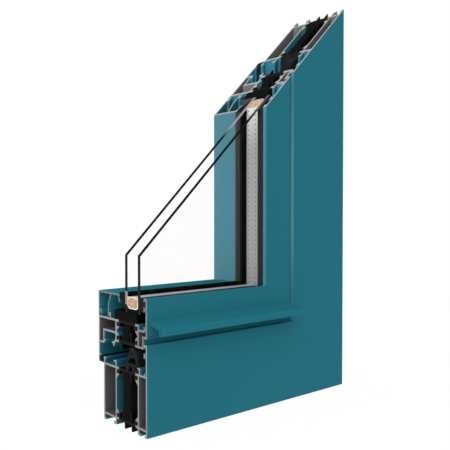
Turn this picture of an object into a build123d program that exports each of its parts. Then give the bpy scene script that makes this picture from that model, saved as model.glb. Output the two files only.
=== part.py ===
# Corner sample of a thermally broken aluminium window: the bottom rail and the right stile of the
# outer frame and of its glazed sash, sawn square at the left and at 45 degrees across the top.
# Each section is drawn once, as depth (from the outside face towards the room) and height (from
# the frame's outer edge towards the glass), and is carried along both rails to a mitre.
import os

from build123d import *

# Size of the sample, in millimetres
sample_width = 255.0
sample_height = 407.0

# Extruded aluminium: wall and depths
wall = 1.8
frame_depth = 70.0
sash_projection = 9.0
outer_tube_depth = 14.0
inner_tube_depth = 22.0

# Heights of the frame section
foot_height = 5.2
frame_tube_height = 46.8
upstand_height = 5.2
face_upstand = 26.2

# Heights of the sash section
joint_gap = 5.0
sash_face_height = 33.8
rebate_depth = 23.0
sash_break_height = 20.0
sash_tube_height = 9.4
overlap = 5.8

# Rounding of the outer edges, and of the tips of feet, lips and fins
edge_radius = 0.5
tip_radius = 0.4

# Feet, ribs and seal grooves of the extrusions
foot_thickness = 2.0
short_foot = 3.7
long_foot = 4.8
rib_thickness = 1.3
rib_height = 2.0
rib_setback = 3.2
groove_reach = 4.7
groove_nib_drop = 1.3
groove_pitch = 9.5
groove_bar_height = 4.2
groove_stub = 1.0
seal_post_offset = 1.8
seal_hook_reach = 2.0
seal_hook_thickness = 1.6
nose_clearance = 0.5
shelf_drop = 4.0
shelf_link = 1.6
shelf_rib_drop = 0.8

# Seats of the insulating strips, and the strips
lip_reach = 3.6
lip_taper = 0.5
pocket_height = 4.0
claw_root = 3.3
claw_tip = 0.8
strip_fit = 0.1
strip_thickness = 2.5
strip_shoulder = 2.2
fin_thickness = 1.8
frame_fin_height = 8.6
sash_fin_height = 8.3
insert_width = 11.0
insert_fit = 0.2
sash_insert_gap = 1.0
sash_insert_step = 2.2
sash_insert_step_height = 5.2
leg_thickness = 1.8
outer_leg_offset = 8.1
inner_leg_offset = 3.2
drain_fin_offset = 7.2
drain_fin_height = 5.2
drain_fin_flare = 1.6

# Hardware groove and overlap leg of the sash
hardware_groove_depth = 19.4
hardware_groove_height = 11.7
hardware_lip = 2.7
hardware_lip_rise = 2.2
hardware_toe = 6.2
hardware_toe_setback = 2.2
overlap_nib = 1.5
overlap_nib_thickness = 1.6
overlap_foot = 1.2
overlap_recess = 0.8

# Insulating glass unit
pane_thickness = 4.0
pane_gap = 16.0
edge_cover = 14.5
sealant_depth = 3.5
spacer_height = 10.0
spacer_wall = 0.7
spacer_chamfer_width = 2.7
spacer_chamfer_height = 1.5
core_fit = 0.1

# Glazing bead and its clip
bead_lip_setback = 1.5
bead_lip_length = 5.7
bead_lip_lean = 2.0
bead_lip_thickness = 1.4
bead_leg_lean = 4.2
bead_leg_knee = 11.5
bead_toe = 1.2
bead_hook_rise = 3.1
bead_hook_thickness = 3.2
bead_hook_reach = 3.4
bead_hook_leg = 1.4
bead_hook_drop = 2.0
clip_setback = 21.2
clip_post = 1.6
clip_height = 4.6
clip_head = 2.0
clip_head_reach = 1.4
clip_fit = 0.2

# Seals
seal_fit = 0.15
face_seal_width = 4.65
face_seal_height = 11.8
face_seal_rounding = 0.8
bead_seal_width = 9.15
bead_seal_crown = 1.8
bead_seal_cap = 1.2
bead_seal_height = 11.8
bead_seal_shoulder = 2.7
bead_seal_waist = 6.8
bead_seal_waist_width = 3.8
bead_seal_toe = 0.9
overlap_seal_rounding = 1.4
overlap_seal_bore = 1.1
middle_seal_span = 18.0
middle_seal_hip = 6.8
middle_seal_wall = 2.2
middle_seal_shoulder = 5.2
middle_seal_toe = 2.2
middle_seal_tuck = 0.8
middle_seal_gap = 1.4
middle_seal_head = 3.4
middle_seal_head_setback = 0.6
middle_seal_neck = 1.8
middle_seal_bore = 1.2
middle_seal_bore_drop = 1.7
middle_seal_chamber_rise = 5.0
middle_seal_chamber_outer_lean = 1.6
middle_seal_chamber_inner_lean = 4.6
middle_seal_chamber_rounding = 0.7
middle_seal_leg = 8.0
middle_seal_notch_width = 7.0
middle_seal_notch_top = 2.0
middle_seal_notch_lean = 1.2
middle_seal_slot_setback = 2.9
middle_seal_slot_length = 3.6
middle_seal_slot_height = 2.6

# Foam in the glazing rebate
filler_outer_setback = 1.0
filler_inner_reach = 3.0
filler_fit = 0.2

# Drip bar on the outside face of the sash
drip_reach = 17.4
drip_sheet = 2.6
drip_fall = 4.7
drip_lip = 6.1
drip_rise = 15.0
drip_back = 11.8
drip_bend = 1.0
drip_end_inset = 1.9
drip_overrun = 1.8

# Corner cleats in the tubes
cleat_fit = 0.2
cleat_arm = 55.0
cleat_wall = 4.5

# Depths that follow from the sizes above
sash_depth = frame_depth + sash_projection
sash_skin = sash_depth - wall
break_outer = outer_tube_depth
break_inner = frame_depth - inner_tube_depth
break_center = (break_outer + break_inner) / 2
insert_outer = break_center - insert_width / 2
insert_inner = break_center + insert_width / 2
seal_post = break_outer - wall - seal_post_offset
seal_hook_end = seal_post + wall + seal_hook_reach
nose_wall = groove_reach + nose_clearance
hardware_end = break_inner + wall + hardware_groove_depth
pane_outer = groove_reach + face_seal_width
gap_outer = pane_outer + pane_thickness
gap_inner = gap_outer + pane_gap
pane_inner = gap_inner + pane_thickness
bead_nose = pane_inner + bead_seal_width
clip_outer = sash_depth - clip_setback
clip_inner = clip_outer + clip_post
bead_leg = clip_inner + clip_head_reach + clip_fit

# Heights that follow from the sizes above
lower_flange = foot_height + wall
frame_tube_top = foot_height + frame_tube_height
upper_flange = frame_tube_top - wall
upstand_top = frame_tube_top + upstand_height
frame_face_height = frame_tube_top + face_upstand
sash_face_bottom = frame_face_height + joint_gap
sightline = sash_face_bottom + sash_face_height
rebate_floor = sightline - rebate_depth
rebate_flange = rebate_floor - wall
sash_nose = rebate_floor - sash_break_height
nose_flange = sash_nose + wall
shelf = rebate_floor - shelf_drop
tube_floor = rebate_flange - sash_tube_height
groove_roof = tube_floor - wall
ledge = groove_roof - hardware_groove_height
toe_low = ledge + hardware_lip_rise
overlap_end = upstand_top - overlap
pane_edge = sightline - edge_cover
spacer_bottom = pane_edge + sealant_depth
spacer_top = spacer_bottom + spacer_height
clip_top = rebate_floor + clip_height
clip_catch = clip_top - clip_head - clip_fit

# Places of the rails: the sample stands centred over its base
left_x = -sample_width / 2
right_x = sample_width / 2
face_y = (drip_reach - sash_depth) / 2
bottom_rail = Plane(origin=(left_x, face_y, 0), x_dir=(0, 1, 0), z_dir=(1, 0, 0))
side_rail = Plane(origin=(right_x, face_y, 0), x_dir=(0, 1, 0), z_dir=(0, 0, 1))
mitre = Plane(origin=(right_x, 0, 0), z_dir=(1, 0, 1))
sloping_cut = Plane(origin=(right_x, 0, sample_height), z_dir=(-1, 0, 1))

os.makedirs("parts", exist_ok=True)


def bar(depth_a, height_a, depth_b, height_b, mode=Mode.ADD):
    """A straight wall of a section, between two opposite corners."""
    with Locations(((depth_a + depth_b) / 2, (height_a + height_b) / 2)):
        Rectangle(abs(depth_b - depth_a), abs(height_b - height_a), mode=mode)


def web(*corners, mode=Mode.ADD):
    """A slanted wall or wedge of a section, through its corners."""
    Polygon(*corners, align=None, mode=mode)


def round_corners(radius, *points):
    """Rounds the corners of the present section that lie at the given points."""
    fillet([vertices().sort_by_distance(point)[0] for point in points], radius)


def strip_seat(face, out, flange, up):
    """Tapered lip and claw that grip one foot of a strip, at a tube's face towards the break.

    out is the way from the face into the break, flange the lip's side in the pocket, and up the
    way from the lip to the claw.
    """
    mouth = face + out * lip_reach
    claw = flange + up * pocket_height
    web(
        (face, flange - up * wall),
        (mouth, flange - up * wall),
        (mouth, flange + up * lip_taper),
        (face, flange),
    )
    web(
        (face, claw),
        (mouth, claw),
        (mouth, claw + up * claw_tip),
        (face, claw + up * (claw_tip + claw_root)),
    )


def strip_foot(face, out, flange, up):
    """Dovetail foot of a strip in such a seat, and the shoulder that leads to its web."""
    back = face + out * strip_fit
    mouth = face + out * lip_reach
    shoulder = mouth + out * strip_fit
    low = flange + up * strip_fit
    high = flange + up * (pocket_height - strip_fit)
    web((back, low), (mouth, low + up * lip_taper), (mouth, high), (back, high))
    bar(mouth, low + up * lip_taper, shoulder, high)
    bar(shoulder, flange - up * wall, shoulder + out * strip_shoulder, high)


def strip(lower_side, up, fin_height):
    """An insulating strip between the two shells, with two fins that hold the foam insert."""
    flange = lower_side + up * wall
    strip_foot(break_outer, 1, flange, up)
    strip_foot(break_inner, -1, flange, up)
    inside = lower_side + up * strip_thickness
    mouth_fit = lip_reach + strip_fit
    bar(break_outer + mouth_fit, lower_side, break_inner - mouth_fit, inside)
    for start, out in ((insert_outer, -1), (insert_inner, 1)):
        near = start + out * insert_fit
        bar(near, inside, near + out * fin_thickness, inside + up * fin_height)


def seal_groove(top):
    """Groove for a push-in seal behind the outside face: a turned-down lip and a T-shaped rib."""
    middle = top - groove_pitch
    bar_face = groove_reach - rib_thickness
    bar(0, top - wall, groove_reach, top)
    bar(bar_face, top - wall - groove_nib_drop, groove_reach, top)
    bar(wall, middle - groove_stub / 2, bar_face, middle + groove_stub / 2)
    bar(bar_face, middle - groove_bar_height / 2, groove_reach, middle + groove_bar_height / 2)


def spacer_outline():
    """Outline of the spacer bar between the panes, with its two chamfers towards the edge."""
    web(
        (gap_outer, spacer_top),
        (gap_outer, spacer_bottom + spacer_chamfer_height),
        (gap_outer + spacer_chamfer_width, spacer_bottom),
        (gap_inner - spacer_chamfer_width, spacer_bottom),
        (gap_inner, spacer_bottom + spacer_chamfer_height),
        (gap_inner, spacer_top),
    )


# Outer shell of the frame: tube, clip feet, post for the middle seal, and the covering face
with BuildSketch() as frame_outer_shell:
    bar(0, 0, wall, frame_face_height)
    bar(break_outer - wall, 0, break_outer, frame_tube_top)
    bar(0, foot_height, break_outer, lower_flange)
    bar(0, upper_flange, break_outer, frame_tube_top)
    bar(0, 0, short_foot, foot_thickness)
    bar(break_outer - long_foot, 0, break_outer, foot_thickness)
    strip_seat(break_outer, 1, upper_flange, -1)
    strip_seat(break_outer, 1, lower_flange, 1)
    bar(seal_post, frame_tube_top, seal_post + wall, upstand_top)
    bar(seal_post, upstand_top - seal_hook_thickness, seal_hook_end, upstand_top)
    bar(rib_setback, frame_tube_top, rib_setback + rib_thickness, frame_tube_top + rib_height)
    seal_groove(frame_face_height)
    foot_end = break_outer - long_foot
    round_corners(edge_radius, (0, 0), (0, frame_face_height), (break_outer, 0), (seal_post, upstand_top))
    for level in (0, foot_thickness):
        round_corners(tip_radius, (short_foot, level), (foot_end, level))
    round_corners(tip_radius, (seal_hook_end, upstand_top), (groove_reach, frame_face_height))

# Inner shell of the frame: tube with clip feet below and a fitting groove above
with BuildSketch() as frame_inner_shell:
    bar(frame_depth - wall, 0, frame_depth, upstand_top)
    bar(break_inner, 0, break_inner + wall, upstand_top)
    bar(break_inner, foot_height, frame_depth, lower_flange)
    bar(break_inner, upper_flange, frame_depth, frame_tube_top)
    for low in (0, upstand_top - foot_thickness):
        bar(frame_depth - short_foot, low, frame_depth, low + foot_thickness)
        bar(break_inner, low, break_inner + long_foot, low + foot_thickness)
    strip_seat(break_inner, -1, upper_flange, -1)
    strip_seat(break_inner, -1, lower_flange, 1)
    for end in (0, upstand_top):
        round_corners(edge_radius, (frame_depth, end), (break_inner, end))
    for foot_end in (frame_depth - short_foot, break_inner + long_foot):
        for level in (0, foot_thickness, upstand_top - foot_thickness, upstand_top):
            round_corners(tip_radius, (foot_end, level))

with BuildSketch() as frame_rebate_strip:
    strip(frame_tube_top, -1, frame_fin_height)

# The strip on the wall side stands on two legs
with BuildSketch() as frame_wall_strip:
    strip(foot_height, 1, frame_fin_height)
    for leg in (break_center - outer_leg_offset, break_center + inner_leg_offset):
        bar(leg - leg_thickness / 2, 0, leg + leg_thickness / 2, foot_height)
        round_corners(tip_radius, (leg - leg_thickness / 2, 0), (leg + leg_thickness / 2, 0))

with BuildSketch() as frame_insert:
    margin = strip_thickness + insert_fit
    bar(insert_outer, foot_height + margin, insert_inner, frame_tube_top - margin)

# Outer shell of the sash: stepped tube, rebate shelf and the face that holds the outer pane
with BuildSketch() as sash_outer_shell:
    shelf_rib = groove_reach - rib_thickness
    bar(0, sash_face_bottom, wall, sightline)
    seal_groove(sightline)
    bar(0, sash_face_bottom, nose_wall + wall, sash_face_bottom + wall)
    bar(nose_wall, sash_nose, nose_wall + wall, sash_face_bottom + wall)
    bar(nose_wall, sash_nose, break_outer, nose_flange)
    bar(break_outer - wall, sash_nose, break_outer, rebate_floor)
    bar(shelf_rib, shelf - wall, break_outer, shelf)
    bar(shelf_rib, shelf - wall, groove_reach, rebate_floor - shelf_rib_drop)
    bar(wall, shelf, shelf_rib, shelf + shelf_link)
    strip_seat(break_outer, 1, rebate_flange, -1)
    strip_seat(break_outer, 1, nose_flange, 1)
    round_corners(edge_radius, (0, sash_face_bottom), (0, sightline), (nose_wall, sash_nose))
    round_corners(tip_radius, (groove_reach, sightline), (groove_reach, rebate_floor - shelf_rib_drop))

# Inner shell of the sash: stepped tube round the hardware groove, overlap leg and bead clip
with BuildSketch() as sash_inner_shell:
    bar(sash_skin, overlap_end, sash_depth, rebate_floor)
    bar(sash_skin, overlap_end + overlap_foot, sash_skin + overlap_recess, upstand_top, Mode.SUBTRACT)
    bar(sash_skin - overlap_nib, upstand_top, sash_skin, upstand_top + overlap_nib_thickness)
    bar(break_inner, rebate_flange, sash_depth, rebate_floor)
    bar(break_inner, sash_nose, break_inner + wall, rebate_floor)
    bar(break_inner, groove_roof, hardware_end + wall, tube_floor)
    bar(hardware_end, ledge, hardware_end + wall, tube_floor)
    bar(hardware_end, ledge, sash_depth, ledge + wall)
    bar(hardware_end - hardware_lip, toe_low, hardware_end, toe_low + wall)
    toe_start = break_inner + wall + hardware_toe_setback
    web(
        (break_inner + wall, nose_flange),
        (break_inner + wall / 2, sash_nose),
        (toe_start, toe_low),
        (toe_start + wall, toe_low + wall),
    )
    bar(toe_start, toe_low, break_inner + wall + hardware_toe, toe_low + wall)
    bar(toe_start, ledge, toe_start + wall, toe_low)
    bar(clip_outer, rebate_floor, clip_inner, clip_top)
    bar(clip_outer, clip_top - clip_head, clip_inner + clip_head_reach, clip_top)
    strip_seat(break_inner, -1, rebate_flange, -1)
    strip_seat(break_inner, -1, nose_flange, 1)
    lip_end = hardware_end - hardware_lip
    toe_end = break_inner + wall + hardware_toe
    round_corners(edge_radius, (sash_depth, overlap_end), (toe_start, ledge), (toe_start + wall, ledge))
    for level in (toe_low, toe_low + wall):
        round_corners(tip_radius, (lip_end, level), (toe_end, level))

with BuildSketch() as sash_glazing_strip:
    strip(rebate_floor, -1, 0)

# The strip towards the frame carries a drain fin that hangs beside the middle seal
with BuildSketch() as sash_nose_strip:
    strip(sash_nose, 1, sash_fin_height)
    fin = break_center + drain_fin_offset
    bar(fin, sash_nose - drain_fin_height, fin + fin_thickness, sash_nose)
    web(
        (fin, sash_nose - drain_fin_height),
        (fin + fin_thickness + drain_fin_flare, sash_nose - drain_fin_height),
        (fin + fin_thickness, sash_nose - drain_fin_height + drain_fin_flare),
        (fin, sash_nose - drain_fin_height + drain_fin_flare),
    )

with BuildSketch() as sash_insert:
    low = sash_nose + strip_thickness + insert_fit
    bar(insert_outer, low, insert_inner, rebate_floor - strip_thickness - sash_insert_gap)
    bar(insert_outer, low, insert_outer + sash_insert_step, low + sash_insert_step_height, Mode.SUBTRACT)

# Glazing bead: it stands on the sash, and its toe snaps under the head of the clip
with BuildSketch() as glazing_bead:
    underside = sightline - wall
    knee = sightline - bead_leg_knee
    lip = bead_nose + bead_lip_setback
    hook_low = rebate_floor + bead_hook_rise
    bar(bead_nose, underside, sash_depth, sightline)
    bar(sash_skin, rebate_floor, sash_depth, sightline)
    web(
        (lip, underside),
        (lip + bead_lip_thickness, underside),
        (lip + bead_lip_thickness - bead_lip_lean, underside - bead_lip_length),
        (lip - bead_lip_lean, underside - bead_lip_length),
    )
    web(
        (bead_leg - bead_leg_lean, underside),
        (bead_leg + wall - bead_leg_lean, underside),
        (bead_leg + wall, knee),
        (bead_leg, knee),
    )
    bar(bead_leg, clip_catch - bead_toe, bead_leg + wall, knee)
    bar(clip_inner + clip_fit, clip_catch - bead_toe, bead_leg, clip_catch)
    bar(sash_skin - bead_hook_reach, hook_low, sash_skin, hook_low + bead_hook_thickness)
    hook_face = sash_skin - bead_hook_reach
    bar(hook_face, hook_low - bead_hook_drop, hook_face + bead_hook_leg, hook_low)
    round_corners(edge_radius, (sash_depth, sightline), (bead_nose, sightline))
    for depth in (lip, lip + bead_lip_thickness):
        round_corners(tip_radius, (depth - bead_lip_lean, underside - bead_lip_length))

# Wedge seal between the bead and the inner pane
with BuildSketch() as bead_seal:
    web(
        (pane_inner, sightline + bead_seal_crown),
        (bead_nose + bead_seal_cap, sightline + bead_seal_cap),
        (bead_nose + bead_seal_cap, sightline + seal_fit),
        (bead_nose - seal_fit, sightline + seal_fit),
        (bead_nose - seal_fit, sightline - bead_seal_shoulder),
        (pane_inner + bead_seal_waist_width, sightline - bead_seal_waist),
        (pane_inner + bead_seal_toe, sightline - bead_seal_height),
        (pane_inner, sightline - bead_seal_height),
    )
    round_corners(edge_radius, (bead_nose + bead_seal_cap, sightline + bead_seal_cap))
    round_corners(edge_radius, (pane_inner, sightline + bead_seal_crown))

# Seal between the outside face and the outer pane, with a barbed root in its groove
with BuildSketch() as face_seal:
    rib_middle = sightline - groove_pitch
    root_low = rib_middle + groove_bar_height / 2 + seal_fit
    root_high = sightline - wall - groove_nib_drop - seal_fit
    barb = groove_reach - rib_thickness - seal_fit
    bar(groove_reach + seal_fit, sightline - face_seal_height, pane_outer, sightline - seal_fit)
    bar(wall + seal_fit, root_low, groove_reach + seal_fit, root_high)
    bar(wall + seal_fit, rib_middle + groove_stub, barb, sightline - wall - seal_fit)
    for level in (sightline - face_seal_height, sightline - seal_fit):
        round_corners(face_seal_rounding, (groove_reach + seal_fit, level), (pane_outer, level))

# Hollow overlap seal between the sash's leg and the room side of the frame
with BuildSketch() as overlap_seal:
    bulb_inner = sash_skin - overlap_nib - seal_fit
    bulb_outer = frame_depth + seal_fit
    bar(bulb_outer, overlap_end, bulb_inner, upstand_top)
    fillet(overlap_seal.vertices(), overlap_seal_rounding)
    with Locations(((bulb_outer + bulb_inner) / 2, (overlap_end + upstand_top) / 2)):
        Circle(overlap_seal_bore, mode=Mode.SUBTRACT)
    root_end = sash_skin + overlap_recess - seal_fit
    root_low = overlap_end + overlap_foot + seal_fit
    bar(bulb_inner - overlap_seal_rounding / 2, root_low, root_end, upstand_top - seal_fit)

# Middle seal: an arch on the upper strip, rooted under the post's hook. Its outer side bulges up to
# a round head, which stands close under the sash
with BuildSketch() as middle_seal:
    foot = frame_tube_top
    outer = seal_hook_end + seal_fit
    inner = outer + middle_seal_span
    center = (outer + inner) / 2
    hip = foot + middle_seal_hip
    shoulder = hip + middle_seal_shoulder
    head_center = center + middle_seal_head_setback
    head_top = sash_nose - middle_seal_gap
    head = head_top - middle_seal_head
    crown = head - middle_seal_head + middle_seal_neck
    with BuildLine():
        ThreePointArc((outer, hip), (center, crown), (inner, hip))
        Polyline(
            (inner, hip),
            (inner + middle_seal_toe, foot + middle_seal_hip / 2),
            (inner - middle_seal_tuck, foot),
            (outer, foot),
            (outer, hip),
        )
    make_face()
    with BuildLine():
        TangentArc((outer, shoulder), (head_center, head_top), tangent=(0, 1))
        Polyline((head_center, head_top), (head_center, hip), (outer, hip), (outer, shoulder))
    make_face()
    with Locations((head_center, head)):
        Circle(middle_seal_head)
    bar(seal_post + wall + seal_fit, foot, outer, upstand_top - seal_hook_thickness - seal_fit)
    chamber_outer = outer + middle_seal_wall
    chamber_inner = inner - middle_seal_wall
    chamber_roof = hip + middle_seal_chamber_rise
    roof_outer = (chamber_outer + middle_seal_chamber_outer_lean, chamber_roof)
    roof_inner = (chamber_inner - middle_seal_chamber_inner_lean, chamber_roof)
    web((chamber_outer, hip), roof_outer, roof_inner, (chamber_inner, hip), mode=Mode.SUBTRACT)
    round_corners(middle_seal_chamber_rounding, roof_outer, roof_inner)
    notch = hip - middle_seal_wall
    leg = outer + middle_seal_leg
    web(
        (leg, foot),
        (leg + middle_seal_notch_lean, notch),
        (leg + middle_seal_notch_lean + middle_seal_notch_top, notch),
        (leg + middle_seal_notch_width, foot),
        mode=Mode.SUBTRACT,
    )
    with Locations((outer + middle_seal_slot_setback, notch - middle_seal_slot_height / 2)):
        SlotOverall(middle_seal_slot_length, middle_seal_slot_height, mode=Mode.SUBTRACT)
    with Locations((center - middle_seal_head_setback, head - middle_seal_bore_drop)):
        Circle(middle_seal_bore, mode=Mode.SUBTRACT)

# Foam that fills the glazing rebate under the panes
with BuildSketch() as rebate_filler:
    bar(
        break_outer + filler_outer_setback,
        rebate_floor,
        break_inner + filler_inner_reach,
        pane_edge - filler_fit,
    )

with BuildSketch() as spacer_bar:
    spacer_outline()
    offset(amount=-spacer_wall, kind=Kind.INTERSECTION, mode=Mode.SUBTRACT)

with BuildSketch() as desiccant_core:
    spacer_outline()
    offset(amount=-spacer_wall - core_fit, kind=Kind.INTERSECTION, mode=Mode.REPLACE)

with BuildSketch() as edge_sealant:
    bar(gap_outer, pane_edge, gap_inner, spacer_bottom + spacer_chamfer_height)
    with BuildSketch(mode=Mode.SUBTRACT):
        spacer_outline()

with BuildSketch() as drip_profile:
    drip_top = sash_face_bottom + drip_rise
    nose_top = drip_top - drip_fall
    web(
        (0, drip_top),
        (-drip_reach, nose_top),
        (-drip_reach, nose_top - drip_sheet),
        (0, drip_top - drip_sheet),
    )
    bar(-drip_reach, nose_top - drip_lip, drip_sheet - drip_reach, nose_top)
    bar(-drip_sheet, drip_top - drip_back, 0, drip_top - drip_sheet)
    round_corners(drip_bend, (-drip_reach, nose_top))
    for depth in (-drip_reach, drip_sheet - drip_reach):
        round_corners(tip_radius, (depth, nose_top - drip_lip))
    round_corners(tip_radius, (-drip_sheet, drip_top - drip_back))


def finish(builder, name):
    """Names a finished piece and writes it to its own file."""
    builder.part.label = name
    export_step(builder.part, f"parts/{name}.step")


# The rails: every section runs along the bottom and up the side, and meets itself at the mitre
rail_sections = {
    "frame_outer_shell": frame_outer_shell,
    "frame_inner_shell": frame_inner_shell,
    "frame_rebate_strip": frame_rebate_strip,
    "frame_wall_strip": frame_wall_strip,
    "frame_insert": frame_insert,
    "sash_outer_shell": sash_outer_shell,
    "sash_inner_shell": sash_inner_shell,
    "sash_glazing_strip": sash_glazing_strip,
    "sash_nose_strip": sash_nose_strip,
    "sash_insert": sash_insert,
    "glazing_bead": glazing_bead,
    "bead_seal": bead_seal,
    "face_seal": face_seal,
    "overlap_seal": overlap_seal,
    "middle_seal": middle_seal,
    "rebate_filler": rebate_filler,
    "spacer_bar": spacer_bar,
    "desiccant_core": desiccant_core,
    "edge_sealant": edge_sealant,
}

for name, section in rail_sections.items():
    with BuildPart() as bottom_piece:
        with BuildSketch(bottom_rail):
            add(section.sketch)
        extrude(amount=sample_width)
        split(bisect_by=mitre, keep=Keep.BOTTOM)
        split(bisect_by=sloping_cut, keep=Keep.BOTTOM)
    finish(bottom_piece, f"bottom_{name}")

    with BuildPart() as side_piece:
        with BuildSketch(side_rail):
            add(section.sketch)
        extrude(amount=sample_height)
        split(bisect_by=mitre, keep=Keep.TOP)
        split(bisect_by=sloping_cut, keep=Keep.BOTTOM)
    finish(side_piece, f"side_{name}")

# The panes reach the same distance into both rebates
for name, pane_face in (("outer_pane", pane_outer), ("inner_pane", gap_inner)):
    with BuildPart() as pane:
        with BuildSketch(bottom_rail):
            bar(pane_face, pane_edge, pane_face + pane_thickness, sample_height)
        extrude(amount=sample_width - pane_edge)
        split(bisect_by=sloping_cut, keep=Keep.BOTTOM)
    finish(pane, name)

# The drip bar stops short of the sawn end and covers the sash's corner
with BuildPart() as drip_bar:
    with BuildSketch(bottom_rail.offset(drip_end_inset)):
        add(drip_profile.sketch)
    extrude(amount=sample_width - sash_face_bottom + drip_overrun - drip_end_inset)
finish(drip_bar, "drip_bar")

# L-shaped cleats join the mitred tubes from inside, each as deep and high as its tube
cleats = {
    "frame_outer_cleat": (wall, break_outer - wall, lower_flange, upper_flange, True),
    "frame_inner_cleat": (break_inner + wall, frame_depth - wall, lower_flange, upper_flange, True),
    "sash_cleat": (break_inner + wall, sash_skin, tube_floor, rebate_flange, False),
}

for name, (near, far, low, high, hollow) in cleats.items():
    inside = low + cleat_fit
    outside = high - cleat_fit
    reach = outside + cleat_arm
    back = face_y + near + cleat_fit
    corner = Plane(origin=(right_x, back, 0), x_dir=(-1, 0, 0), z_dir=(0, 1, 0))
    with BuildPart() as cleat:
        with BuildSketch(corner):
            bar(inside, inside, reach, outside)
            bar(inside, inside, outside, reach)
            if hollow:
                low_side = inside + cleat_wall
                high_side = outside - cleat_wall
                bar(outside, low_side, reach - cleat_wall, high_side, Mode.SUBTRACT)
                bar(low_side, outside, high_side, reach - cleat_wall, Mode.SUBTRACT)
        extrude(amount=far - near - 2 * cleat_fit)
    finish(cleat, name)
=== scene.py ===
from math import pi, sqrt

import bmesh
import bpy
import numpy as np
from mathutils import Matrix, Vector


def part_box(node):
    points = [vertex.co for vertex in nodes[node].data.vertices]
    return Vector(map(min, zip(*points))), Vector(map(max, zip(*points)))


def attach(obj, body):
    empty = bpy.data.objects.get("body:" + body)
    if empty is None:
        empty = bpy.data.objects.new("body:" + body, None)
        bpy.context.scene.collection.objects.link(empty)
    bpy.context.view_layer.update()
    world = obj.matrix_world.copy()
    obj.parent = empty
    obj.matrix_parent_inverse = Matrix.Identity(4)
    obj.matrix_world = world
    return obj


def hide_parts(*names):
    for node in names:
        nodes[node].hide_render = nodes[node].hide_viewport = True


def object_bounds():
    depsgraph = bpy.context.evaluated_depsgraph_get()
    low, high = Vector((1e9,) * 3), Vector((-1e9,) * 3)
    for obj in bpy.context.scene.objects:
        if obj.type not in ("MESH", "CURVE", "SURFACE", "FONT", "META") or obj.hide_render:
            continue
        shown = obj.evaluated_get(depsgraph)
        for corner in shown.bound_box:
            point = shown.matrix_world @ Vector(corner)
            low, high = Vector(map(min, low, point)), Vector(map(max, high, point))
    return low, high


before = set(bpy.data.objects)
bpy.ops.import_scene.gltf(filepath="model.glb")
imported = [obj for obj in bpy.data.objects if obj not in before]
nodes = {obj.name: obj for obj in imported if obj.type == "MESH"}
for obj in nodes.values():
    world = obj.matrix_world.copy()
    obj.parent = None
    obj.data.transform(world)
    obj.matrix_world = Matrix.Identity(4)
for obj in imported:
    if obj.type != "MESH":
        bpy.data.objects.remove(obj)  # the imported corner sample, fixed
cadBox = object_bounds()
scene = bpy.context.scene
print("frame loaded,", len(nodes), "pieces")

mm = 0.001
leftCut = cadBox[0].x / mm  # sawn end of the bottom rail
rightSide = cadBox[1].x / mm  # outer edge of the stile
stileTop = cadBox[1].z / mm
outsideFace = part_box("bottom_frame_outer_shell")[0].y / mm
slopingCut = stileTop - rightSide  # Z - X on the sloping saw cut
sawTolerance = 0.03  # mm, what still counts as on a cut
plainWhite = (1.0, 1.0, 1.0, 1.0)


class Tap:  # a shader socket that takes part in plain expressions
    def __init__(self, sheet, socket):
        self.sheet = sheet
        self.socket = socket

    def calc(self, operation, *values):
        return self.sheet.add("ShaderNodeMath", {"operation": operation}, dict(enumerate(values)))

    def __add__(self, other):
        return self.calc("ADD", self, other)

    def __sub__(self, other):
        return self.calc("SUBTRACT", self, other)

    def __rsub__(self, other):
        return self.calc("SUBTRACT", other, self)

    def __mul__(self, other):
        return self.calc("MULTIPLY", self, other)

    def __pow__(self, other):
        return self.calc("POWER", self, other)

    def __lt__(self, other):
        return self.calc("LESS_THAN", self, other)

    def __gt__(self, other):
        return self.calc("GREATER_THAN", self, other)

    def __or__(self, other):  # the larger of two masks
        return self.calc("MAXIMUM", self, other)

    def __abs__(self):
        return self.calc("ABSOLUTE", self)

    __radd__ = __add__
    __rmul__ = __mul__


class Sheet:  # a node tree that is laid out from code
    def __init__(self, owner):
        owner.use_nodes = True
        self.tree = owner.node_tree
        self.tree.nodes.clear()

    def add(self, kind, settings=None, inputs=None, out=0):  # any node: type, settings, sockets
        node = self.tree.nodes.new(kind)
        for key, value in (settings or {}).items():
            setattr(node, key, value)
        for key, value in (inputs or {}).items():
            if isinstance(value, Tap):
                self.tree.links.new(value.socket, node.inputs[key])
            else:
                node.inputs[key].default_value = value
        return node if out is None else Tap(self, node.outputs[out])

    def join(self, x, y, z=0.0):
        return self.add("ShaderNodeCombineXYZ", None, {0: x, 1: y, 2: z})

    def blend(self, factor, first, second):  # colours: first where the factor is 0
        first = first if isinstance(first, Tap) else (*first, 1.0)
        second = second if isinstance(second, Tap) else (*second, 1.0)
        settings = {"data_type": "RGBA", "clamp_factor": True}
        return self.add("ShaderNodeMix", settings, {0: factor, 6: first, 7: second}, out=2)

    def pick(self, factor, first, second):  # numbers: first where the factor is 0
        return first + factor * (second - first)

    def scale(self, colour, factor):
        return self.add("ShaderNodeVectorMath", {"operation": "SCALE"}, {0: colour, "Scale": factor})

    def tint(self, mask, colour, factor):  # the colour times a factor where the mask is 1
        return self.blend(mask, colour, self.scale(colour, factor))

    def noise(self, vector, scale=1.0, detail=2.0, rough=0.5):
        inputs = {"Vector": vector, "Scale": scale, "Detail": detail, "Roughness": rough}
        return self.add("ShaderNodeTexNoise", None, inputs)

    def ease(self, value, low, high):  # 0 at low, 1 at high, smooth between
        inputs = {0: value, 1: low, 2: high, 3: 0.0, 4: 1.0}
        return self.add("ShaderNodeMapRange", {"interpolation_type": "SMOOTHSTEP"}, inputs)

    def bump(self, height, strength, distance):
        inputs = {"Height": height, "Strength": strength, "Distance": distance}
        return self.add("ShaderNodeBump", None, inputs)


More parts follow.
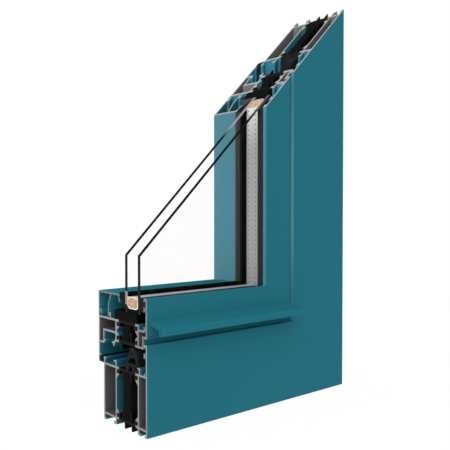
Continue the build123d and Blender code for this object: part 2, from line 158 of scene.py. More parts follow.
class Finish(Sheet):  # one material with the coordinates of the rail section, in mm
    def __init__(self, name, rail="bottom"):
        self.material = bpy.data.materials.new(name)
        super().__init__(self.material)
        self.point = self.add("ShaderNodeTexCoord", out="Object")
        split = self.add("ShaderNodeSeparateXYZ", None, {0: self.scale(self.point, 1 / mm)}, out=None)
        self.x, self.y, self.z = (Tap(self, socket) for socket in split.outputs)
        self.depth = self.y - outsideFace  # from the outside face towards the room
        self.height = self.z.calc("MINIMUM", self.z, rightSide - self.x)  # from the edge to the glass
        self.along = self.x if rail == "bottom" else self.z

    def squareEnd(self, reach=sawTolerance):  # 1 on the square cut, or within a reach of it
        return self.x < leftCut + reach

    def slopingEnd(self, reach=sawTolerance):  # 1 on the sloping cut, or within a reach of it
        return self.z - self.x > slopingCut - reach * sqrt(2.0)

    def sawn(self, reach=sawTolerance):
        return self.squareEnd(reach) | self.slopingEnd(reach)

    def shade(self, **sockets):  # the surface shader and the output
        named = {key.replace("_", " "): value for key, value in sockets.items()}
        shader = self.add("ShaderNodeBsdfPrincipled", None, named)
        self.add("ShaderNodeOutputMaterial", None, {"Surface": shader}, out=None)
        return self.material


def dress(node, material):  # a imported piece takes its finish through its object's slots
    for slot in nodes[node].material_slots:
        slot.material = material


coat = {
    "teal": (0.0164, 0.152, 0.200),
    "tealDeep": (0.0156, 0.145, 0.191),
    "mitreShade": (0.003, 0.045, 0.060),
    "mitreCore": 0.05,  # half width of the hairline at the mitre, mm: full, and faded out
    "mitreWidth": 0.28,
    "mitreStrength": 0.3,
    "roughness": 0.5,
    "roughnessSwing": 0.12,
    "peelSize": 1.3,  # wavelength of the orange peel, mm
    "peelHeight": 0.004,  # mm
    "peelBump": 0.3,
    "cloudSize": 70.0,  # slow drift of the colour, mm
    "specular": 0.04,
    "sheen": {"side_glazing_bead": 0.16, "side_sash_outer_shell": 0.16},  # pieces with more gloss
    "sheenTeal": (0.0092, 0.147, 0.195),
    "sheenDeep": 0.955,  # share of it in the darker clouds
    "dull": {"bottom_glazing_bead": 1.2, "drip_bar": 1.05},  # no gloss, and this much lighter
    "hollowShade": 0.72,  # painted shade on the walls in the hollow of the side bead
    "hollowMargin": 0.1,  # mm
    "topShade": 0.83,  # painted shade: the side bead darkens towards the sloping cut
    "topRise": (190.0, 290.0),  # over these heights, mm
    "litLip": (0.062, 0.238, 0.278),  # painted light on the edge of the covering face, towards the sash
    "lipDepth": 4.7,  # mm
    "lipLow": (80.0, 180.0),  # the painted light grows over these heights, mm
    "lipHigh": (240.0, 320.0),  # and falls off over these
    "lipLoss": 0.55,  # by this share
    "breakShade": 0.78,  # painted shade on the wall in the frame's break
    "breakDepth": 48.1,  # mm
    "dripEnd": 0.58,  # painted light: the drip bar's end is this much darker, as painted shade
    "dripEndReach": 2.0,  # mm
}
sawnMetal = {
    "light": (0.202, 0.191, 0.188),
    "dark": (0.163, 0.155, 0.152),
    "slopingLight": 2.0,  # painted light: the sloping cut is this much brighter
    "thin": {  # thin walls look darker
        "bottom_glazing_bead": 0.6,
        "bottom_sash_outer_shell": 0.75,
        "side_glazing_bead": 0.8,
    },
    "roughness": 0.46,
    "roughnessSwing": 0.2,
    "metallic": 0.25,
    "markSize": 0.45,  # distance between saw marks, mm
    "markStretch": 0.05,  # how much slower they change in depth
}
millMetal = {
    "light": (0.114, 0.114, 0.115),
    "dark": (0.099, 0.099, 0.100),
    "roughness": 0.6,
    "metallic": 0.2,
    "dieSize": 1.6,  # distance between die lines, mm
    "dieStretch": 0.01,  # how much slower they change along the rail
}
closedTubes = {  # depth from, to and height from, to, mm: bare inside
    "frame_outer_shell": [(1.8, 12.2, 7.0, 50.2)],
    "frame_inner_shell": [(49.8, 68.2, 7.0, 50.2)],
    "sash_outer_shell": [(7.0, 12.2, 75.8, 88.2), (1.8, 12.2, 85.0, 88.2)],
    "sash_inner_shell": [(49.8, 77.2, 82.8, 92.2), (71.0, 77.2, 71.2, 92.2)],
}
tubeMargin = 0.06  # mm


def sawMarks(finish):  # fine marks across both cuts: long in depth, short along the cut
    across = (finish.x + finish.z) * (1 / sawnMetal["markSize"])
    return finish.noise(finish.join(finish.depth * sawnMetal["markStretch"], across), detail=3.0, rough=0.6)


def insideTubes(finish, tubes):  # 1 on the walls of the closed tubes
    mask = 0.0
    for nearDepth, farDepth, low, high in tubes:
        inDepth = (finish.depth > nearDepth - tubeMargin) * (finish.depth < farDepth + tubeMargin)
        inHeight = (finish.height > low - tubeMargin) * (finish.height < high + tubeMargin)
        mask = inDepth * inHeight | mask
    return mask


def coatColour(finish, node):  # slow clouds of two close tones, then the colours of single pieces, with painted light and shade on some
    cloud = finish.noise(finish.point, 1 / (coat["cloudSize"] * mm), detail=3.0)
    colour = finish.blend(cloud, coat["tealDeep"], coat["teal"])
    if node in coat["dull"]:
        colour = finish.scale(colour, coat["dull"][node])
    if node in coat["sheen"]:
        deep = tuple(share * coat["sheenDeep"] for share in coat["sheenTeal"])
        colour = finish.blend(cloud, deep, coat["sheenTeal"])
    if node == "drip_bar":
        # painted shade on the drip bar's end
        return finish.tint(finish.squareEnd(coat["dripEndReach"]), colour, coat["dripEnd"])
    joint = abs(finish.x + finish.z - rightSide) * sqrt(0.5)
    hairline = 1 - finish.ease(joint, coat["mitreCore"], coat["mitreWidth"])
    colour = finish.blend(hairline * coat["mitreStrength"], colour, coat["mitreShade"])
    if node == "side_frame_outer_shell":
        # painted light on the side of the frame's lip in the joint towards the sash
        tip = finish.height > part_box("bottom_frame_outer_shell")[1].z / mm - sawTolerance
        fall = finish.ease(finish.z, *coat["lipHigh"]) * coat["lipLoss"]
        lipLight = finish.ease(finish.z, *coat["lipLow"]) * (1 - fall)
        colour = finish.blend(tip * (finish.depth < coat["lipDepth"]) * lipLight, colour, coat["litLip"])
    if node == "side_glazing_bead":
        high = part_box("bottom_glazing_bead")[1]
        # painted shade: the side bead darkens towards the sloping cut
        colour = finish.tint(finish.ease(finish.z, *coat["topRise"]), colour, coat["topShade"])
        # painted shade on the walls in the bead's hollow
        inHeight = finish.height < high.z / mm - coat["hollowMargin"]
        inDepth = finish.depth < high.y / mm - outsideFace - coat["hollowMargin"]
        colour = finish.tint(inHeight * inDepth, colour, coat["hollowShade"])
    if node.endswith("frame_inner_shell"):
        # painted shade on the wall in the frame's break
        colour = finish.tint(finish.depth < coat["breakDepth"], colour, coat["breakShade"])
    return colour


def coatedFinish(node, rail, tubes=None):  # powder coat, bare tubes and bright saw cuts, with painted light on the sloping cut
    finish = Finish(f"coated {node}", rail)
    specular = 0.0 if node in coat["dull"] else coat["sheen"].get(node, coat["specular"])
    peel = finish.noise(finish.point, 1 / (coat["peelSize"] * mm))
    colour = coatColour(finish, node)
    roughness = coat["roughness"] + (peel - 0.5) * coat["roughnessSwing"]
    metallic = 0.0
    relief = peel
    if tubes:  # bare metal with faint die lines
        bare = insideTubes(finish, tubes)
        lines = finish.join(finish.depth, finish.height, finish.along * millMetal["dieStretch"])
        die = finish.noise(lines, 1 / millMetal["dieSize"])
        colour = finish.blend(bare, colour, finish.blend(die, millMetal["dark"], millMetal["light"]))
        roughness = finish.pick(bare, roughness, millMetal["roughness"])
        metallic = bare * millMetal["metallic"]
        relief = finish.pick(bare, relief, die)
    cut = finish.sawn()
    marks = sawMarks(finish)
    bright = finish.blend(marks, sawnMetal["dark"], sawnMetal["light"])
    # painted light on the sloping cut
    bright = finish.tint(finish.slopingEnd(), bright, sawnMetal["slopingLight"])
    bright = finish.scale(bright, sawnMetal["thin"].get(node, 1.0))
    colour = finish.blend(cut, colour, bright)
    cutRoughness = sawnMetal["roughness"] + (marks - 0.5) * sawnMetal["roughnessSwing"]
    roughness = finish.pick(cut, roughness, cutRoughness)
    metallic = metallic + cut * (sawnMetal["metallic"] - metallic)
    normal = finish.bump(finish.pick(cut, relief, marks), coat["peelBump"], coat["peelHeight"] * mm)
    return finish.shade(Base_Color=colour, Roughness=roughness, Metallic=metallic, Normal=normal,
                        Specular_IOR_Level=specular)


for rail in ("bottom", "side"):
    for piece, tubes in closedTubes.items():
        dress(f"{rail}_{piece}", coatedFinish(f"{rail}_{piece}", rail, tubes))
    dress(f"{rail}_glazing_bead", coatedFinish(f"{rail}_glazing_bead", rail))
dress("drip_bar", coatedFinish("drip_bar", "bottom"))
print("coated aluminium done")

blacks = {  # base colour, lighter fleck, roughness, specular level and grain size in mm
    "polyamide": {"base": (0.0024, 0.0024, 0.0025), "fleck": (0.0052, 0.0052, 0.0052),
                  "roughness": 0.50, "specular": 0.03, "grain": 0.5},
    "rubber": {"base": (0.0028, 0.0028, 0.0029), "fleck": (0.0050, 0.0050, 0.0050),
               "roughness": 0.55, "specular": 0.05, "grain": 0.9},
    "mattRubber": {"base": (0.0090, 0.0090, 0.0091), "fleck": (0.0155, 0.0155, 0.0155),
                   "roughness": 0.55, "specular": 0.0, "grain": 0.9},
    "foam": {"base": (0.0018, 0.0018, 0.0018), "fleck": (0.0042, 0.0041, 0.0040),
             "roughness": 0.85, "specular": 0.02, "grain": 0.7},
    "sealant": {"base": (0.0006, 0.0006, 0.0006), "fleck": (0.0012, 0.0012, 0.0012),
                "roughness": 0.6, "specular": 0.02, "grain": 2.0},
}
drawn = {  # die lines and grain of strips and seals
    "across": 1.6,  # lines for each mm of the section
    "along": 0.02,
    "lineShare": 0.6,  # the rest of the tone is grain
    "toneRange": (0.42, 0.72),
    "roughnessSwing": 0.25,
    "cutRoughness": 0.1,
    "bump": 0.4,
    "relief": 0.02,  # mm
}
foam = {
    "cellRange": (0.15, 0.75),
    "cellShare": 0.7,  # the rest of the tone is grain
    "grainScale": 0.4,
    "roughnessSwing": 0.15,
    "bump": 0.5,
    "relief": 0.08,  # mm
}
litSkins = {  # painted light on the uncut skin: brightness against the cut face, and the depth from which it is so, mm
    "side_bead_seal": (3.6, 36.4),
    "side_face_seal": (3.2, 0.0),
    "bottom_frame_insert": (2.4, 0.0),
    "bottom_middle_seal": (4.2, 0.0),
    "side_middle_seal": (2.6, 0.0),
    "side_rebate_filler": (16.0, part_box("inner_pane")[1].y / mm - outsideFace),
}


def skinLight(finish, node, colour):  # painted light: the uncut skin of some pieces is drawn paler
    factor, start = litSkins.get(node, (1.0, 0.0))
    return finish.tint((1 - finish.sawn()) * (finish.depth > start), colour, factor)


def blackFinish(node, rail, look):  # die lines along the rail, a cut face with its own grain
    finish = Finish(f"black {node}", rail)
    across, share = drawn["across"], drawn["lineShare"]
    section = finish.join(finish.depth * across, finish.height * across, finish.along * drawn["along"])
    lines = finish.noise(section, detail=3.0)
    grain = finish.noise(finish.point, 1 / (look["grain"] * mm), detail=3.0, rough=0.7)
    cut = finish.sawn()
    tone = finish.pick(cut, lines * share + grain * (1 - share), grain)
    colour = finish.blend(finish.ease(tone, *drawn["toneRange"]), look["base"], look["fleck"])
    # painted light on the uncut skin of some pieces
    colour = skinLight(finish, node, colour)
    roughness = look["roughness"] + (grain - 0.5) * drawn["roughnessSwing"] + cut * drawn["cutRoughness"]
    normal = finish.bump(finish.pick(cut, lines, grain), drawn["bump"], drawn["relief"] * mm)
    return finish.shade(Base_Color=colour, Roughness=roughness, Normal=normal,
                        Specular_IOR_Level=look["specular"])


def foamFinish(node, rail, look):  # closed cells, cut open at the saw cuts
    finish = Finish(f"foam {node}", rail)
    share = foam["cellShare"]
    inputs = {"Vector": finish.point, "Scale": 1 / (look["grain"] * mm)}
    cells = finish.add("ShaderNodeTexVoronoi", {"feature": "F1"}, inputs)
    grain = finish.noise(finish.point, foam["grainScale"] / (look["grain"] * mm))
    tone = finish.ease(cells, *foam["cellRange"]) * share + grain * (1 - share)
    # painted light on the uncut skin of some pieces
    colour = skinLight(finish, node, finish.blend(tone, look["base"], look["fleck"]))
    roughness = look["roughness"] + (grain - 0.5) * foam["roughnessSwing"]
    normal = finish.bump(cells, foam["bump"], foam["relief"] * mm)
    return finish.shade(Base_Color=colour, Roughness=roughness, Normal=normal,
                        Specular_IOR_Level=look["specular"])


for rail in ("bottom", "side"):
    for piece in ("frame_rebate_strip", "frame_wall_strip", "sash_glazing_strip", "sash_nose_strip"):
        dress(f"{rail}_{piece}", blackFinish(f"{rail}_{piece}", rail, blacks["polyamide"]))
    for piece in ("face_seal", "overlap_seal", "middle_seal"):
        dress(f"{rail}_{piece}", blackFinish(f"{rail}_{piece}", rail, blacks["rubber"]))
    dress(f"{rail}_bead_seal", blackFinish(f"{rail}_bead_seal", rail, blacks["mattRubber"]))
    for piece in ("frame_insert", "sash_insert", "rebate_filler"):
        dress(f"{rail}_{piece}", foamFinish(f"{rail}_{piece}", rail, blacks["foam"]))
    dress(f"{rail}_edge_sealant", blackFinish(f"{rail}_edge_sealant", rail, blacks["sealant"]))
print("strips, seals and foam done")

pane = {
    "face": (0.04, 0.05, 0.05),
    "faceRoughness": 0.03,
    "smear": 30.0,  # wipe marks for each metre
    "smearRoughness": 0.04,
    "edge": (0.0085, 0.0090, 0.0090),
    "edgeRoughness": 0.8,
    "arris": 0.35,  # width of the ground edge beside the sloping cut, mm
    "rimMargin": 0.05,  # mm
    "edgeHighlight": (0.19, 0.187, 0.184),
    "highlightRange": (109.0, 120.5),  # heights of the painted highlight on the inner pane's square edge, mm
    "slopingEdge": {"outer_pane": (0.070, 0.070, 0.070), "inner_pane": (0.235, 0.232, 0.228)},
    "slopingShade": (0.0012, 0.0012, 0.0012),
    "slopingDark": {  # heights over which the sloping edge turns dark, mm
        "outer_pane": (120.0, 130.0),
        "inner_pane": (131.0, 148.0),
    },
    "veil": 0.006,  # what one face takes from the view straight on
    "glance": 0.5,  # what it takes more at a glancing view
    "glancePower": 5.0,
    "lightLoss": 0.16,  # what one face takes from light on its way in
    "specular": 0.05,
}


def glassFinish(node):  # clear faces with a faint veil, dark ground edges, and a painted highlight on the inner pane's edge
    finish = Finish(f"glass {node}")
    rim = finish.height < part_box("outer_pane")[0].z / mm + pane["rimMargin"]
    solid = finish.squareEnd() | finish.slopingEnd(pane["arris"]) | rim
    smear = finish.noise(finish.point, pane["smear"], detail=3.0)
    fade = finish.ease(finish.height, *pane["slopingDark"][node])
    sloping = finish.blend(fade, pane["slopingEdge"][node], pane["slopingShade"])
    edge = finish.blend(finish.slopingEnd(pane["arris"]), pane["edge"], sloping)
    if node == "inner_pane":
        # painted highlight on a stretch of the inner pane's square edge
        low, high = pane["highlightRange"]
        stretch = finish.squareEnd() * (finish.height > low) * (finish.height < high)
        edge = finish.blend(stretch, edge, pane["edgeHighlight"])
    colour = finish.blend(solid, pane["face"], edge)
    facing = finish.add("ShaderNodeLayerWeight", None, {"Blend": 0.5}, out="Facing")
    veil = pane["veil"] * (0.5 + smear) + facing ** pane["glancePower"] * pane["glance"]
    seen = finish.add("ShaderNodeLightPath", out="Is Camera Ray")
    alpha = finish.pick(solid, finish.pick(seen, pane["lightLoss"], veil), 1.0)
    clear = pane["faceRoughness"] + smear * pane["smearRoughness"]
    roughness = finish.pick(solid, clear, pane["edgeRoughness"])
    return finish.shade(Base_Color=colour, Roughness=roughness, Alpha=alpha,
                        Specular_IOR_Level=pane["specular"])


for piece in ("outer_pane", "inner_pane"):
    dress(piece, glassFinish(piece))

cleat = {
    "grain": 1200.0,  # for each metre
    "roughness": 0.4,
    "roughnessSwing": 0.2,
    "metallic": 0.8,
    "bump": 0.3,
    "relief": 0.01,  # mm
}


def cleatFinish():  # mill metal with a fine grain
    finish = Finish("mill cleat")
    grain = finish.noise(finish.point, cleat["grain"], detail=3.0)
    colour = finish.blend(grain, millMetal["dark"], millMetal["light"])
    roughness = cleat["roughness"] + grain * cleat["roughnessSwing"]
    normal = finish.bump(grain, cleat["bump"], cleat["relief"] * mm)
    return finish.shade(Base_Color=colour, Roughness=roughness, Metallic=cleat["metallic"], Normal=normal)


cleatMaterial = cleatFinish()
for piece in ("frame_outer_cleat", "frame_inner_cleat", "sash_cleat"):
    dress(piece, cleatMaterial)
print("panes and cleats done")

weldReach = 0.001  # mm


def runEnds(rail, height):  # where a rail starts and ends at a height of its section, mm
    if rail == "bottom":
        return leftCut, rightSide - height
    return height, stileTop - height


def onRail(rail, run, depth, height):  # points of the section, carried along the rail, in metres
    run, depth, height = np.broadcast_arrays(run, depth, height)
    x, z = (run, height) if rail == "bottom" else (rightSide - height, run)
    return np.stack([x, depth + outsideFace, z], axis=-1) * mm


def quads(index):  # the faces of a grid of vertex numbers: each number, its neighbours and the one across
    corners = [index[:-1, :-1], index[:-1, 1:], index[1:, 1:], index[1:, :-1]]
    return np.stack(corners, axis=-1).reshape(-1, 4)


def makePiece(name, grids, material, replaced, tone=None):  # grids welded into one closed skin
    points = np.concatenate([grid.reshape(-1, 3) for grid in grids])
    sizes = [grid[..., 0].size for grid in grids]
    first = np.cumsum([0] + sizes)
    faces = [quads(start + np.arange(size).reshape(grid.shape[:2]))
             for start, size, grid in zip(first, sizes, grids)]
    mesh = bpy.data.meshes.new(name)
    mesh.from_pydata(points.tolist(), [], np.concatenate(faces).tolist())
    if tone is not None:
        mesh.attributes.new("tone", "FLOAT", "POINT").data.foreach_set("value", tone)
    weld = bmesh.new()
    weld.from_mesh(mesh)
    bmesh.ops.remove_doubles(weld, verts=weld.verts, dist=weldReach * mm)
    bmesh.ops.recalc_face_normals(weld, faces=weld.faces)
    weld.to_mesh(mesh)
    weld.free()
    mesh.materials.append(material)
    piece = bpy.data.objects.new(name, mesh)
    scene.collection.objects.link(piece)
    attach(piece, "root")
    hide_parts(replaced)


spacer = {
    "wall": 0.5,  # mm
    "chamferWide": 2.7,
    "chamferHigh": 1.5,
    "pitch": 4.73,  # between holes along a row
    "rowInset": 3.2,  # from the bar's edge to a row of holes
    "hole": 0.65,  # radius
    "rim": 0.08,  # rounding of the hole's edge
    "rimBend": 0.3,  # share of it by which the middle ring lies in and down
    "steps": 4,  # points along each side of a cell
    # painted light and shade: the same satin metal is lighter on the bottom bar, darker on the side bar
    "satin": {"bottom": (0.60, 0.60, 0.60), "side": (0.131, 0.131, 0.131)},
    "cutLight": {"bottom": 1.3, "side": 2.4},  # painted light: how much brighter it is near the cut
    "cutReach": 32.0,  # mm
    "brushed": 0.86,  # darker lines of the brushing
    "brushAcross": 3.0,  # lines for each mm
    "brushAlong": 0.04,
    "sawn": (0.66, 0.66, 0.655),
    # painted shade inside the bar and down its holes
    "inside": (0.02, 0.02, 0.02),
    "flank": {"bottom": (0.02, 0.02, 0.02), "side": (0.2, 0.2, 0.2)},  # side towards the outer pane: painted shade on the bottom bar, painted light on the side bar
    "butylAndShade": {"bottom": (3.8, 1.2), "side": (0.0, 1.4)},  # black lines beside outer and inner pane, butyl and painted shade, mm
    "skin": 0.05,  # mm
    "grain": 900.0,  # for each metre
    "roughness": 0.45,
    "roughnessSwing": 0.15,
    "metallic": 0.2,
    "bump": 0.2,
    "relief": 0.01,  # mm
}
spacerLow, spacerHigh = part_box("bottom_spacer_bar")
spacerNear, spacerFar = (corner.y / mm - outsideFace for corner in (spacerLow, spacerHigh))
spacerFoot, spacerTop = spacerLow.z / mm, spacerHigh.z / mm
spacerMiddle = (spacerNear + spacerFar) / 2


def spacerOutline(inset):  # sides, chamfers and foot of the bar, each line moved inwards by the inset
    wide, high = spacer["chamferWide"], spacer["chamferHigh"]
    slant = sqrt(wide * wide + high * high)
    shoulder = spacerFoot + high + inset * (slant - high) / wide
    foot = wide + inset * (slant - wide) / high
    edge = spacerNear + inset
    left = np.array([(edge, spacerTop - inset), (edge, shoulder), (spacerNear + foot, spacerFoot + inset)])
    right = left[::-1] * (-1.0, 1.0) + (spacerNear + spacerFar, 0.0)  # the same, mirrored
    return np.concatenate([left, right])


def holeCells(edges, inset):
    # Each cell is a rectangle's outline: steps along the run, then across, back and across again.
    steps = spacer["steps"]
    across = np.array([[spacerNear + inset, spacerMiddle], [spacerMiddle, spacerFar - inset]])
    part = np.arange(steps) / steps
    zero, one = np.zeros(steps), np.ones(steps)
    run = np.concatenate([part, one, 1 - part, zero, zero[:1]])
    side = np.concatenate([zero, part, one, 1 - part, zero[:1]])
    runs = edges[:-1, None] + (edges[1:] - edges[:-1])[:, None] * run
    depths = across[:, :1] + (across[:, 1:] - across[:, :1]) * side
    return np.broadcast_arrays(runs[None], depths[:, None])


def perforatedBar(rail):
    # The top is a row of cells; in each, rings go from the cell's outline to the hole's round edge, down
    # the hole's wall and out again under the sheet. The other walls are the outline carried along the rail.
    wall, radius, rim, steps = spacer["wall"], spacer["hole"], spacer["rim"], spacer["steps"]
    start, end = runEnds(rail, spacerTop)
    count = round((end - start) / spacer["pitch"])
    edges = np.linspace(start, end, count + 1)
    innerEdges = edges.copy()
    innerEdges[[0, -1]] = runEnds(rail, spacerTop - wall)
    run, depth = holeCells(edges, 0.0)
    innerRun, innerDepth = holeCells(innerEdges, wall)
    centreRun = ((edges[:-1] + edges[1:]) / 2)[None, :, None]
    rows = [spacerNear + spacer["rowInset"], spacerFar - spacer["rowInset"]]
    centreDepth = np.array(rows)[:, None, None]
    reach = np.hypot(run - centreRun, depth - centreDepth)
    alongUnit, acrossUnit = (run - centreRun) / reach, (depth - centreDepth) / reach
    rings = [(run, depth, spacerTop)]
    bend = rim * spacer["rimBend"]
    for size, fall in ((radius + rim, 0.0), (radius + bend, bend), (radius, rim), (radius, wall)):
        rings.append((centreRun + alongUnit * size, centreDepth + acrossUnit * size, spacerTop - fall))
    rings.append((innerRun, innerDepth, spacerTop - wall))
    cells = np.stack([onRail(rail, *ring) for ring in rings], axis=2)
    grids = list(cells.reshape(-1, *cells.shape[2:]))
    loops = []
    for inset, ends in ((0.0, edges), (wall, innerEdges)):
        outline = spacerOutline(inset)
        low, high = np.broadcast_arrays(*runEnds(rail, outline[:, 1]))
        top = np.interp(np.arange(count * steps + 1) / steps, np.arange(count + 1), ends)
        share = (top - top[0]) / (top[-1] - top[0])
        runs = low[:, None] + (high - low)[:, None] * share
        grids.append(onRail(rail, runs, outline[:, :1], outline[:, 1:]))
        crossing = np.concatenate([np.linspace(outline[-1, 0], spacerMiddle, steps + 1)[1:],
                                   np.linspace(spacerMiddle, outline[0, 0], steps + 1)[1:]])
        closing = np.stack([crossing, np.full(2 * steps, outline[0, 1])], axis=1)
        loop = np.concatenate([outline, closing])
        loops.append([onRail(rail, place, loop[:, 0], loop[:, 1]) for place in runEnds(rail, loop[:, 1])])
    grids += [np.stack(pair) for pair in zip(*loops)]
    return grids


def spacerFinish(rail):  # brushed along the rail, painted shade inside, painted light near the saw cut, bare and bright on the cut
    finish = Finish(f"satin {rail} spacer", rail)
    across, skin = spacer["brushAcross"], spacer["skin"]
    grain = finish.noise(finish.point, spacer["grain"], detail=3.0)
    section = finish.join(finish.depth * across, finish.height * across, finish.along * spacer["brushAlong"])
    brushed = finish.noise(section)
    # painted light and shade: the bottom bar is drawn lighter than the side bar
    satin = spacer["satin"][rail]
    colour = finish.blend(brushed, tuple(share * spacer["brushed"] for share in satin), satin)
    # painted light near the saw cut
    if rail == "bottom":
        distance = finish.x - leftCut
    else:
        distance = (slopingCut - finish.z + finish.x) * sqrt(0.5)
    near = 1 - finish.ease(distance, 0.0, spacer["cutReach"])
    colour = finish.tint(near, colour, spacer["cutLight"][rail])
    # painted shade inside the bar and down its holes
    inDepth = (finish.depth > spacerNear + skin) * (finish.depth < spacerFar - skin)
    inHeight = (finish.height > spacerFoot + skin) * (finish.height < spacerTop - skin)
    # black lines beside the panes: butyl and painted shade
    outerLine, innerLine = spacer["butylAndShade"][rail]
    butylAndShade = (finish.depth < spacerNear + outerLine) | (finish.depth > spacerFar - innerLine)
    colour = finish.blend(inDepth * inHeight | butylAndShade, colour, spacer["inside"])
    # painted shade and light on the side towards the outer pane
    colour = finish.blend(finish.depth < spacerNear + skin, colour, spacer["flank"][rail])
    colour = finish.blend(finish.sawn(), colour, spacer["sawn"])
    roughness = spacer["roughness"] + (grain - 0.5) * spacer["roughnessSwing"]
    normal = finish.bump(grain, spacer["bump"], spacer["relief"] * mm)
    return finish.shade(Base_Color=colour, Roughness=roughness, Metallic=spacer["metallic"], Normal=normal)


granules = {
    "inset": 0.55,  # from the bar's outline to the filling, mm
    "spacing": 1.25,
    "jitter": 0.22,  # share of the spacing
    "radius": 0.82,
    "lift": 0.3,  # how much the granules differ in height
    "grid": 0.15,
    "seed": 7,
    "light": (0.68, 0.48, 0.29),
    "dark": (0.22, 0.12, 0.048),
    "toneShare": 0.7,  # the rest of the colour's change is fine specks
    "speck": 4000.0,  # for each metre
    "shadedUnderHoles": (0.02, 0.018, 0.015),  # painted shade on the granules under the bar's holes, away from the cut
    "openReach": 1.6,  # how far from the cut the granules are lit, mm
    "roughness": 0.8,
    "roughnessSwing": 0.1,
    "bump": 0.3,
    "relief": 0.03,  # mm
}


def granuleRelief(across, up):
    # Balls on a jittered triangular grid; the face is the highest ball over each point, and its tone.
    random = np.random.default_rng(granules["seed"])
    spacing, radius, jitter = granules["spacing"], granules["radius"], granules["jitter"]
    rows = np.arange(up.min() - spacing, up.max() + spacing, spacing * sqrt(0.75))
    columns = np.arange(across.min() - spacing, across.max() + spacing, spacing)
    ballAcross, ballUp = np.meshgrid(columns, rows)
    ballAcross = ballAcross + (np.arange(len(rows)) % 2)[:, None] * spacing / 2
    balls = np.stack([ballAcross, ballUp], axis=-1).reshape(-1, 2)
    balls = balls + random.uniform(-jitter, jitter, balls.shape) * spacing
    drop = random.uniform(0.0, granules["lift"], len(balls))
    tones = random.uniform(0.0, 1.0, len(balls))
    gap = (across[..., None] - balls[:, 0]) ** 2 + (up[..., None] - balls[:, 1]) ** 2
    tops = np.sqrt(np.clip(radius ** 2 - gap, 0.0, None)) - drop
    return tops.max(axis=-1) - radius, tones[tops.argmax(axis=-1)]


def gridEdge(part):  # once round the edge of both end grids, and back to the first corner
    sides = [part[:, 0, :-1], part[:, :-1, -1], part[:, -1, :0:-1], part[:, ::-1, 0]]
    return np.concatenate(sides, axis=1)


def granuleCore(rail):
    # The filling's section is a grid between its two sides; its sawn end carries the balls, the other
    # end is flat, and the skin between them runs round both edges.
    outline = spacerOutline(granules["inset"])
    top, foot = outline[0, 1], outline[2, 1]
    slope = 1.0 if rail == "bottom" else sqrt(2.0)
    up = np.linspace(foot, top, round((top - foot) * slope / granules["grid"]) + 1)[:, None]
    near = np.interp(up, outline[2::-1, 1], outline[2::-1, 0])
    far = spacerNear + spacerFar - near
    depth = near + (far - near) * np.linspace(0, 1, round((spacerFar - spacerNear) / granules["grid"]) + 1)
    up = np.broadcast_to(up, depth.shape)
    relief, tone = granuleRelief(depth, up * slope)
    start, end = runEnds(rail, up)
    sawnEnd, mitreEnd = (start - relief, end) if rail == "bottom" else (end + relief, start)
    ends = np.stack([onRail(rail, sawnEnd, depth, up), onRail(rail, mitreEnd, depth, up)])
    tones = np.stack([tone, tone])
    edgeTones = gridEdge(tones[..., None])
    return [ends[0], ends[1], gridEdge(ends)], np.concatenate([tones.ravel(), edgeTones.ravel()])


def granuleFinish():  # each granule has its own tone, with fine specks, and painted shade away from the cut
    finish = Finish("desiccant granules")
    share = granules["toneShare"]
    tone = finish.add("ShaderNodeAttribute", {"attribute_name": "tone"}, out="Fac")
    speck = finish.noise(finish.point, granules["speck"])
    colour = finish.blend(tone * share + speck * (1 - share), granules["dark"], granules["light"])
    # painted shade on the granules away from the cut
    colour = finish.blend(finish.sawn(granules["openReach"]), granules["shadedUnderHoles"], colour)
    roughness = granules["roughness"] + speck * granules["roughnessSwing"]
    normal = finish.bump(speck, granules["bump"], granules["relief"] * mm)
    return finish.shade(Base_Color=colour, Roughness=roughness, Normal=normal)


granuleMaterial = granuleFinish()
for rail in ("bottom", "side"):
    bar = perforatedBar(rail)
    makePiece(f"{rail}PerforatedSpacer", bar, spacerFinish(rail), f"{rail}_spacer_bar")
    core, tone = granuleCore(rail)
    makePiece(f"{rail}Granules", core, granuleMaterial, f"{rail}_desiccant_core", tone)
print("glazing unit done")

floor = {
    "size": 40.0,  # m
    "colour": (0.03, 0.03, 0.03),
    "cloud": (0.04, 0.04, 0.04),
    "cloudScale": 3.0,  # for each metre
    "roughness": 0.9,
    "glow": 0.965,
}


def makeFloor():  # a flat sheet under the sample, bright enough to run into the backdrop
    half = floor["size"] / 2
    corner = np.array([(-half, -half, 0.0), (half, -half, 0.0), (half, half, 0.0), (-half, half, 0.0)])
    corner[:, 2] = cadBox[0].z
    mesh = bpy.data.meshes.new("paleFloor")
    mesh.from_pydata(corner.tolist(), [], [(0, 1, 2, 3)])
    piece = bpy.data.objects.new("paleFloor", mesh)
    scene.collection.objects.link(piece)
    piece.visible_diffuse = False  # it throws no light back up at the sample
    piece.visible_glossy = False
    piece.visible_shadow = False
    finish = Finish("pale floor")
    cloud = finish.noise(finish.point, floor["cloudScale"])
    colour = finish.blend(cloud, floor["colour"], floor["cloud"])
    material = finish.shade(Base_Color=colour, Roughness=floor["roughness"], Specular_IOR_Level=0.0,
                            Emission_Color=plainWhite, Emission_Strength=floor["glow"])
    mesh.materials.append(material)


makeFloor()

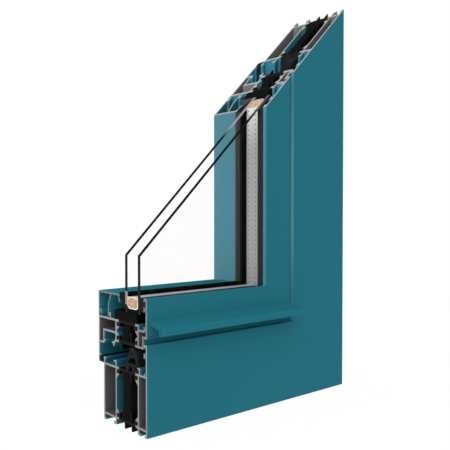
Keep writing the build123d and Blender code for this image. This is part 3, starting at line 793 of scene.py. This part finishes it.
studio = {
    "dome": 0.90,  # even light from all round
    "tilt": (-0.52, 0.0, 0.05),  # more of it from the left
    "keyFrom": (-0.20, -0.75, 0.63),
    "keyStrength": 1.15,
    "keyAngle": 1.2,  # radians, how wide the light is
    "fillFrom": (-0.72, 0.69, 0.05),
    "fillStrength": 2.0,
    "fillAngle": 0.5,
}


def lightStudio():  # a soft dome behind a white backdrop, a key light and a fill light
    world = bpy.data.worlds.new("studio")
    scene.world = world
    sky = Sheet(world)
    direction = sky.add("ShaderNodeTexCoord", out="Generated")
    sides = {0: direction, 1: studio["tilt"]}
    tilt = sky.add("ShaderNodeVectorMath", {"operation": "DOT_PRODUCT"}, sides, out="Value")
    soft = sky.add("ShaderNodeBackground", None, {"Strength": studio["dome"] + tilt})
    white = sky.add("ShaderNodeBackground", None, {"Color": plainWhite})
    seen = sky.add("ShaderNodeLightPath", out="Is Camera Ray")
    backdrop = sky.add("ShaderNodeMixShader", None, {0: seen, 1: soft, 2: white})
    sky.add("ShaderNodeOutputWorld", None, {"Surface": backdrop}, out=None)
    for name, shadow in (("key", True), ("fill", False)):  # the fill reaches into the joints too
        light = bpy.data.lights.new(f"{name}Light", "SUN")
        light.energy = studio[f"{name}Strength"]
        light.angle = studio[f"{name}Angle"]
        light.use_shadow = shadow
        lamp = bpy.data.objects.new(f"{name}Light", light)
        scene.collection.objects.link(lamp)
        lamp.rotation_euler = Vector(studio[f"{name}From"]).to_track_quat("Z", "Y").to_euler()
    scene.view_settings.view_transform = "Standard"


lightStudio()
print("studio lit")

view = {
    "place": (-0.4187, -0.4672, 0.19085),  # m
    "yaw": 0.712,  # radians
    "pitch": 0.0243,
    "lens": 50.57,  # mm
    "sensor": 36.0,
    "nearest": 0.01,  # m
}


def setCamera():  # at the photograph's place, turned and tipped by the two angles
    lens = bpy.data.cameras.new("photoCamera")
    lens.lens = view["lens"]
    lens.sensor_width = view["sensor"]
    lens.clip_start = view["nearest"]
    camera = bpy.data.objects.new("photoCamera", lens)
    scene.collection.objects.link(camera)
    camera.location = view["place"]
    camera.rotation_euler = (pi / 2 - view["pitch"], 0.0, -view["yaw"])
    scene.camera = camera


setCamera()
print("camera set")
